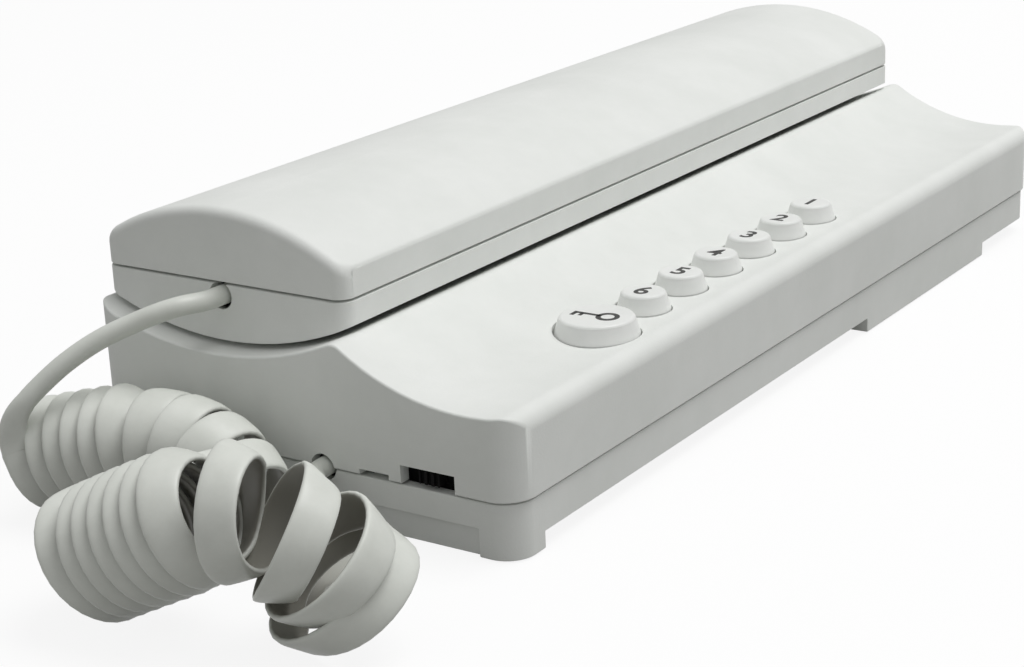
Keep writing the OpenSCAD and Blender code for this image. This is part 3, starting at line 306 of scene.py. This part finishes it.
# The face that lay on the winding rod is painted a dark brown: painted shade for the shadow that falls inside
# the curls.
inner_face = vinyl_tree.nodes.new("ShaderNodeAttribute")
inner_face.attribute_name = "inside"
inner_painted_shade = vinyl_tree.nodes.new("ShaderNodeMix")
inner_painted_shade.data_type = "RGBA"
inner_painted_shade.inputs["B"].default_value = (0.20, 0.19, 0.16, 1)
vinyl_tree.links.new(vinyl_shader.inputs["Base Color"].links[0].from_socket, inner_painted_shade.inputs["A"])
vinyl_tree.links.new(spread(vinyl_tree, inner_face.outputs["Fac"], 0, 1, 0, 0.9), inner_painted_shade.inputs["Factor"])
vinyl_tree.links.new(inner_painted_shade.outputs["Result"], vinyl_shader.inputs["Base Color"])

curls = sheath("curly_cord", curl_rings)
curls.data.materials.append(vinyl)
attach(curls, "base")
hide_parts("cord_coil", "cord_tail")

lead = sheath("cord_lead_out", lead_rings[::-1])
lead.data.materials.append(vinyl)
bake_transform(lead)
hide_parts("cord_lead")

# Table and light: a plain white table top under one large soft lamp, above and a little behind to the right,
# and an even pale room that fills the shaded ends.
table_mesh = bpy.data.meshes.new("table_top")
top = bmesh.new()
bmesh.ops.create_grid(top, x_segments=1, y_segments=1, size=6, matrix=Matrix.Translation((0, 0, -0.0003)))
top.to_mesh(table_mesh)
top.free()
table = bpy.data.objects.new("table_top", table_mesh)
scene.collection.objects.link(table)


def seen_directly(tree):
    """One where a ray comes straight from the eye, a mirror or glass."""
    path = tree.nodes.new("ShaderNodeLightPath")
    either = tree.nodes.new("ShaderNodeMath")
    either.operation = "MAXIMUM"
    tree.links.new(path.outputs["Is Glossy Ray"], either.inputs[0])
    tree.links.new(path.outputs["Is Transmission Ray"], either.inputs[1])
    seen = tree.nodes.new("ShaderNodeMath")
    seen.operation = "MAXIMUM"
    tree.links.new(path.outputs["Is Camera Ray"], seen.inputs[0])
    tree.links.new(either.outputs[0], seen.inputs[1])
    return seen.outputs[0]


table_white = bpy.data.materials.new("table_white")
table_white.use_nodes = True
tree = table_white.node_tree
tree.nodes.remove(tree.nodes["Principled BSDF"])
bounce = tree.nodes.new("ShaderNodeBsdfDiffuse")
bounce.inputs["Color"].default_value = (0.3, 0.3, 0.29, 1)
lit = tree.nodes.new("ShaderNodeBsdfDiffuse")
lit.inputs["Color"].default_value = (0.97, 0.97, 0.97, 1)
glow = tree.nodes.new("ShaderNodeEmission")
glow.inputs["Color"].default_value = (1, 1, 1, 1)
shadowed = tree.nodes.new("ShaderNodeMixShader")
shadowed.inputs["Fac"].default_value = 0.12
tree.links.new(glow.outputs[0], shadowed.inputs[1])
tree.links.new(lit.outputs[0], shadowed.inputs[2])
shown = tree.nodes.new("ShaderNodeMixShader")
tree.links.new(seen_directly(tree), shown.inputs["Fac"])
tree.links.new(bounce.outputs[0], shown.inputs[1])
tree.links.new(shadowed.outputs[0], shown.inputs[2])
tree.links.new(shown.outputs[0], tree.nodes["Material Output"].inputs["Surface"])
table.data.materials.append(table_white)

room = bpy.data.worlds.new("room")
scene.world = room
room.use_nodes = True
tree = room.node_tree
dim = tree.nodes["Background"]
dim.inputs["Color"].default_value = (1, 1, 1, 1)
dim.inputs["Strength"].default_value = 0.4
bright = tree.nodes.new("ShaderNodeBackground")
bright.inputs["Color"].default_value = (1, 1, 1, 1)
bright.inputs["Strength"].default_value = 1
either_room = tree.nodes.new("ShaderNodeMixShader")
camera_ray = tree.nodes.new("ShaderNodeLightPath")
tree.links.new(camera_ray.outputs["Is Camera Ray"], either_room.inputs["Fac"])
tree.links.new(dim.outputs[0], either_room.inputs[1])
tree.links.new(bright.outputs[0], either_room.inputs[2])
tree.links.new(either_room.outputs[0], tree.nodes["World Output"].inputs["Surface"])

lamp_data = bpy.data.lights.new("soft_lamp", "AREA")
lamp_data.shape = "SQUARE"
lamp_data.size = 0.9
lamp_data.energy = 14
lamp = bpy.data.objects.new("soft_lamp", lamp_data)
lamp.location = (0.45, 0.3, 1.4)
lamp.rotation_euler = (Vector((0, 0, 0)) - lamp.location).to_track_quat("-Z", "Y").to_euler()
scene.collection.objects.link(lamp)
scene.view_settings.view_transform = "Standard"

# Back plate: a shallow tray moulded in the same light grey-white plastic as the cover, with two pads that
# stand on the wall, screw bosses, and posts for the circuit board. Its edges are eased by the mould maker.
shell_plastic, _, _ = skinned("shell_plastic", (0.80, 0.82, 0.79), (0.86, 0.875, 0.85), (0.62, 0.46),
                              grain=2300, clouds=55, wear=22, depth=0.00006, strength=0.35)


def outline_off(x, y, half_w, half_l, r):
    """Distance of a point outside a plate outline with round corners."""
    dx, dy = abs(x) - half_w + r, abs(y) - half_l + r
    return math.hypot(max(dx, 0), max(dy, 0)) + min(max(dx, dy), 0) - r


def eased(node, name, cuts):
    """Copy of a CAD piece with chosen sharp edges rounded. A cut is a test of an edge's two ends, a width
    and a segment count."""
    mesh = bpy.data.meshes.new(name)
    form = bmesh.new()
    form.from_mesh(nodes[node].data)
    bmesh.ops.remove_doubles(form, verts=form.verts, dist=2e-6)
    bmesh.ops.dissolve_degenerate(form, edges=form.edges, dist=1e-6)
    bmesh.ops.dissolve_limit(form, angle_limit=0.004, verts=form.verts, edges=form.edges)
    for picks, width, segments in cuts:
        sharp = [e for e in form.edges if len(e.link_faces) == 2 and e.calc_face_angle(0) > math.radians(22)
                 and picks(e.verts[0].co, e.verts[1].co)]
        bmesh.ops.bevel(form, geom=sharp, offset=width, offset_type="OFFSET", segments=segments, profile=0.5,
                        affect="EDGES", clamp_overlap=True, material=-1)
    form.to_mesh(mesh)
    form.free()
    mesh.shade_smooth()
    mesh.set_sharp_from_angle(angle=math.radians(32))
    piece = bpy.data.objects.new(name, mesh)
    scene.collection.objects.link(piece)
    even = piece.modifiers.new("even_faces", "WEIGHTED_NORMAL")
    even.keep_sharp = True
    return piece


plate_half_w, plate_half_l, plate_corner = 0.0435, 0.1095, 0.005
seam_ease = 0.00025


def plate_foot_edge(a, b):
    return max(a.z, b.z) < 0.0001


def plate_seam_edge(a, b):
    return min(a.z, b.z) > 0.0095 and max(a.z, b.z) < 0.0097 and all(
        abs(outline_off(p.x, p.y, plate_half_w, plate_half_l, plate_corner)) < 2e-5 for p in (a, b))


plate = eased("back_plate", "back_plate_eased",
              [(plate_foot_edge, 0.0004, 2), (plate_seam_edge, seam_ease, 2)])
plate.data.materials.append(shell_plastic)
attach(plate, "base")
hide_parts("back_plate")

# Circuit board: green lacquered laminate with an arm that reaches under the hook plunger, held by screws.
# The lacquer is a little uneven in tone.
board_lacquer, _, _ = skinned(
    "board_lacquer", (0.012, 0.075, 0.03), (0.03, 0.14, 0.06), (0.34, 0.22), grain=1500, clouds=420, wear=120,
    depth=0.00002, strength=0.2)
nodes["circuit_board"].data.materials.clear()
nodes["circuit_board"].data.materials.append(board_lacquer)

# Screws and capsules: zinc-plated steel and plain pressed metal, dulled a little by the tumbling barrel.
# The screws share their plating with the hook spring.
zinc, _, zinc_shader = skinned("zinc_plate", (0.52, 0.53, 0.54), (0.66, 0.67, 0.68), (0.42, 0.24), grain=3000,
                               clouds=500, wear=300, depth=0.00001, strength=0.3)
zinc_shader.inputs["Metallic"].default_value = 1
for name in ("board_screws", "terminal_screws", "handset_screws"):
    nodes[name].data.materials.clear()
    nodes[name].data.materials.append(zinc)
pressed_metal, _, pressed_shader = skinned("pressed_metal", (0.42, 0.43, 0.45), (0.56, 0.57, 0.59),
                                           (0.5, 0.34), grain=1800, clouds=200, wear=160,
                                           depth=0.00002, strength=0.3)
pressed_shader.inputs["Metallic"].default_value = 1
for name in ("earpiece", "microphone"):
    nodes[name].data.materials.clear()
    nodes[name].data.materials.append(pressed_metal)

# Wall cable terminal block: blue glass-filled moulding, slightly cloudy, with a screw for each way.
terminal_blue, _, _ = skinned("terminal_blue", (0.02, 0.075, 0.24), (0.04, 0.12, 0.33), (0.5, 0.36),
                              grain=1600, clouds=260, wear=90, depth=0.00003, strength=0.3)
nodes["terminal_block"].data.materials.clear()
nodes["terminal_block"].data.materials.append(terminal_blue)

# Switches, buzzer and slider: small matt black mouldings soldered to the board or riding in the slot.
switch_black, _, switch_shader = skinned("switch_black", (0.002, 0.002, 0.002), (0.005, 0.005, 0.005),
                                         (0.9, 0.75), grain=2600, clouds=300, wear=120,
                                         depth=0.00004, strength=0.35)
switch_shader.inputs["Specular IOR Level"].default_value = 0.15
for name in ("call_buzzer", "key_switches", "volume_switch", "volume_slider", "hook_switch"):
    nodes[name].data.materials.clear()
    nodes[name].data.materials.append(switch_black)

# Cord clamps, microphone boot and earpiece gasket: soft black rubber, dusty with talc from the mould.
boot_rubber, _, _ = skinned("boot_rubber", (0.012, 0.012, 0.013), (0.035, 0.035, 0.036), (0.85, 0.66),
                            grain=1400, clouds=320, wear=140, depth=0.00005, strength=0.4)
for name in ("base_cord_clamp", "handset_cord_clamp", "microphone_boot", "earpiece_gasket"):
    nodes[name].data.materials.clear()
    nodes[name].data.materials.append(boot_rubber)

# Front cover: one thin moulding with the scooped button deck, the cradle and its rest ribs, the hanging peg
# and the sleeve of the hook plunger. The edges at its two ends are rolled over softly.
cover_half_w, cover_half_l, cover_corner = 0.044, 0.11, 0.0055


def on_cover_outline(a, b):
    return all(abs(outline_off(p.x, p.y, cover_half_w, cover_half_l, cover_corner)) < 2e-5 for p in (a, b))


def cover_end_edge(a, b):
    return min(a.z, b.z) > 0.0225 and on_cover_outline(a, b)


def cover_seam_edge(a, b):
    return max(a.z, b.z) < 0.0101 and on_cover_outline(a, b)


cover = eased("front_cover", "front_cover_eased",
              [(cover_end_edge, 0.0016, 4), (cover_seam_edge, seam_ease, 2)])
cover.data.materials.append(shell_plastic)
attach(cover, "base")
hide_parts("front_cover")

# Buttons and hook plunger: smooth satin white mouldings. The buttons carry a printed key and the numbers
# 1 to 6 in dark grey ink, worn a little by use.
button_satin, _, _ = skinned("button_satin", (0.84, 0.855, 0.83), (0.885, 0.895, 0.875), (0.46, 0.34),
                             grain=1800, clouds=160, wear=110, depth=0.00002, strength=0.2)
for name in ["door_button", "hook_plunger"] + ["number_button_%d" % n for n in range(1, 7)]:
    nodes[name].data.materials.clear()
    nodes[name].data.materials.append(button_satin)
print_ink, _, _ = skinned("print_ink", (0.035, 0.035, 0.034), (0.085, 0.085, 0.08), (0.7, 0.5), grain=2600,
                          clouds=900, wear=400, depth=0.00001, strength=0.2)
ink_t = 0.00003


def as_mesh(piece):
    """Same piece with its curve made a mesh."""
    name = piece.name
    bpy.context.view_layer.update()
    mesh = bpy.data.meshes.new_from_object(piece.evaluated_get(bpy.context.evaluated_depsgraph_get()))
    curve = piece.data
    bpy.data.objects.remove(piece)
    bpy.data.curves.remove(curve)
    mesh.name = name
    made = bpy.data.objects.new(name, mesh)
    scene.collection.objects.link(made)
    return made


def print_mark(name, mesh, body):
    """Printed mark riding on its button."""
    piece = bpy.data.objects.new(name, mesh)
    scene.collection.objects.link(piece)
    piece.data.materials.append(print_ink)
    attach(piece, body)


for n in range(1, 7):
    low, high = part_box("number_button_%d" % n)
    middle = (low + high) / 2
    digit = bpy.data.curves.new("digit_%d" % n, "FONT")
    digit.body = str(n)
    digit.size = 0.0058
    digit.align_x = "CENTER"
    digit.align_y = "CENTER"
    digit.offset = 0.00012
    digit.extrude = ink_t
    sample = bpy.data.objects.new("digit_%d" % n, digit)
    scene.collection.objects.link(sample)
    sample = as_mesh(sample)
    digit_mesh = sample.data
    bpy.data.objects.remove(sample)
    corners = [v.co for v in digit_mesh.vertices]
    centre = Vector([(min(c[k] for c in corners) + max(c[k] for c in corners)) / 2 for k in range(3)])
    digit_mesh.transform(Matrix.Translation(Vector((middle.x, middle.y, high.z)) - centre))
    print_mark("digit_%d" % n, digit_mesh, "number_key_%d" % n)

# The key on the door button: a round bow with a hole, a straight shank and two bits.
low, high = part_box("door_button")
middle = (low + high) / 2
key_mesh = bpy.data.meshes.new("door_key_mark")
key = bmesh.new()
bow_r, bow_hole_r, bow_x = 0.0021, 0.0012, 0.0022
for ring_r in (bow_r, bow_hole_r):
    bmesh.ops.create_circle(key, segments=40, radius=ring_r, matrix=Matrix.Translation((bow_x, 0, 0)))
bmesh.ops.bridge_loops(key, edges=key.edges[:])
shank_tip, shank_half_w, shank_end = -0.0045, 0.0004, bow_x - bow_hole_r - 0.0002
for x0, x1, y0, y1 in ((shank_tip, shank_end, -shank_half_w, shank_half_w), (shank_tip, -0.0037, -0.0017, 0),
                       (-0.0030, -0.0023, -0.0014, 0)):
    corners = [key.verts.new((x, y, 0)) for x, y in ((x0, y0), (x1, y0), (x1, y1), (x0, y1))]
    key.faces.new(corners)
sheet = bmesh.ops.extrude_face_region(key, geom=key.faces[:])["geom"]
bmesh.ops.translate(key, verts=[v for v in sheet if isinstance(v, bmesh.types.BMVert)], vec=(0, 0, 2 * ink_t))
bmesh.ops.recalc_face_normals(key, faces=key.faces[:])
bmesh.ops.translate(key, verts=key.verts[:], vec=(middle.x, middle.y, high.z - ink_t))
key.to_mesh(key_mesh)
key.free()
print_mark("door_key_mark", key_mesh, "door_key")

# Hook spring: five turns of zinc-plated wire under the plunger flange.
low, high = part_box("hook_spring")
spring_mesh = bpy.data.meshes.new("hook_spring_wire")
wire = bmesh.new()
wire.from_mesh(nodes["hook_spring"].data)
bmesh.ops.remove_doubles(wire, verts=wire.verts, dist=2e-6)
wire.to_mesh(spring_mesh)
wire.free()
spring_mesh.shade_smooth()
spring = bpy.data.objects.new("hook_spring_wire", spring_mesh)
scene.collection.objects.link(spring)
rounder = spring.modifiers.new("round_wire", "SUBSURF")
rounder.levels = rounder.render_levels = 1
spring.data.materials.append(zinc)
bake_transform(spring)
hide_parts("hook_spring")

# Handset shells: two thin mouldings in the plastic of the base, screwed together from below. The lower one
# has the earpiece grille and microphone ports; the upper one is a plain arched crown with softly rolled ends.
handset_mid, handset_half_w, handset_half_l, handset_corner = -0.017, 0.0265, 0.106, 0.003


def on_handset_outline(a, b):
    return all(abs(outline_off(p.x - handset_mid, p.y, handset_half_w, handset_half_l, handset_corner)) < 2e-5
               for p in (a, b))


def lower_belly_edge(a, b):
    return max(a.z, b.z) < 0.0345 and on_handset_outline(a, b)


def lower_seam_edge(a, b):
    return min(a.z, b.z) > 0.0370 and max(a.z, b.z) < 0.0372 and on_handset_outline(a, b)


lower = eased("handset_lower_shell", "handset_lower_eased",
              [(lower_belly_edge, 0.0006, 3), (lower_seam_edge, seam_ease, 2)])
lower.data.materials.append(shell_plastic)
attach(lower, "handset")
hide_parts("handset_lower_shell")


def crown_end_edge(a, b):
    return min(a.z, b.z) > 0.0400 and on_handset_outline(a, b)


def upper_seam_edge(a, b):
    return max(a.z, b.z) < 0.0376 and on_handset_outline(a, b)


upper = eased("handset_upper_shell", "handset_upper_eased",
              [(crown_end_edge, 0.0018, 5), (upper_seam_edge, seam_ease, 2)])
upper.data.materials.append(shell_plastic)
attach(upper, "handset")
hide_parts("handset_upper_shell")
